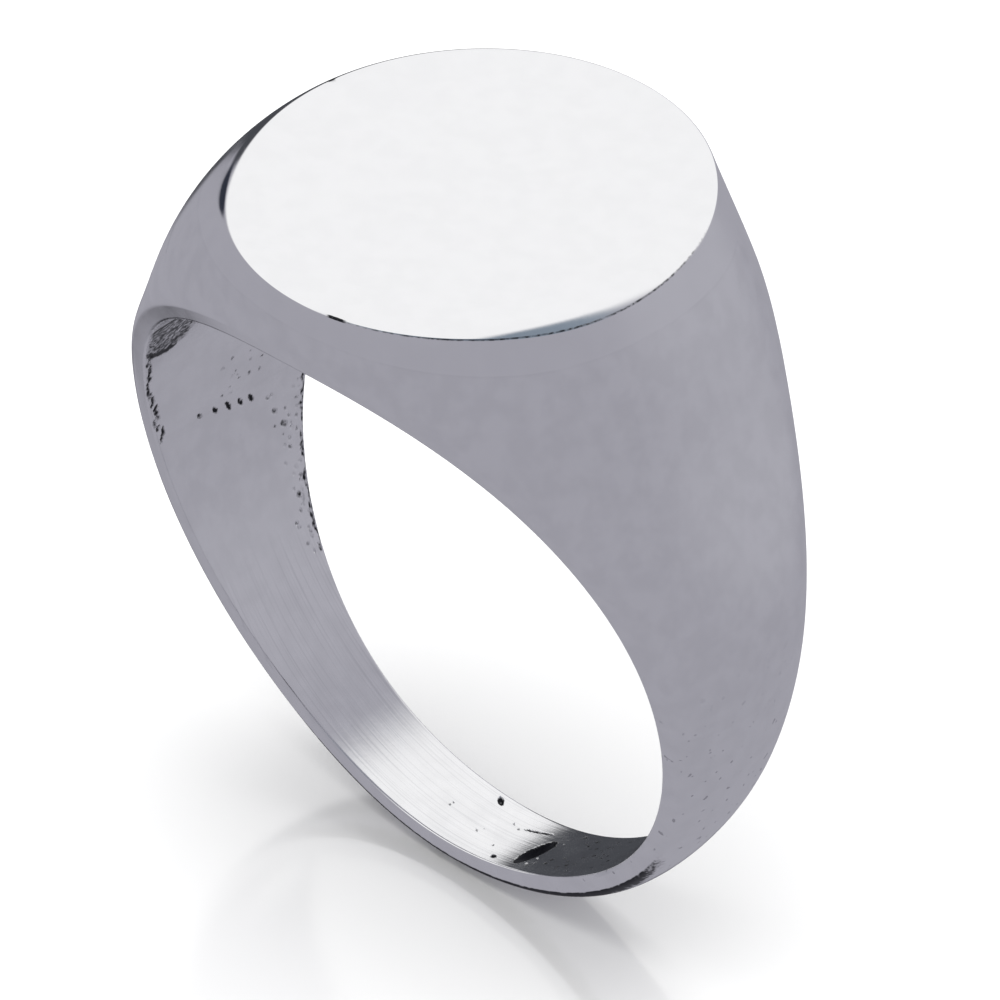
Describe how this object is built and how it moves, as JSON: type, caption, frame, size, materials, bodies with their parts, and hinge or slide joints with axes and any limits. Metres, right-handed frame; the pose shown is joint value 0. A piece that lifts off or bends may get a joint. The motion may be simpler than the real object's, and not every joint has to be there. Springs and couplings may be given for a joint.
{
  "type": "signet ring",
  "caption": "Signet ring with a blank oval flat table on a hollow-backed head, tapering shoulders and a half-round band.",
  "frame": {"origin": "centre of the finger bore", "axes": "+X across the ring to the narrower shoulder, +Y along the finger, +Z towards the signet table"},
  "size_m": [0.0216, 0.0138, 0.0223],
  "materials": {
    "silver": "polished silver with fine wear",
    "polished_table": "mirror polished silver",
    "silver_solder": "silver solder, polished flush"
  },
  "bodies": {
    "root": {"signet_table": "polished_table", "table_solder": "silver_solder", "head_body": "silver", "right_shank": "silver", "left_shank": "silver", "right_shoulder_solder": "silver_solder", "left_shoulder_solder": "silver_solder", "sizing_insert": "silver", "right_insert_solder": "silver_solder", "left_insert_solder": "silver_solder"}
  },
  "joints": []
}
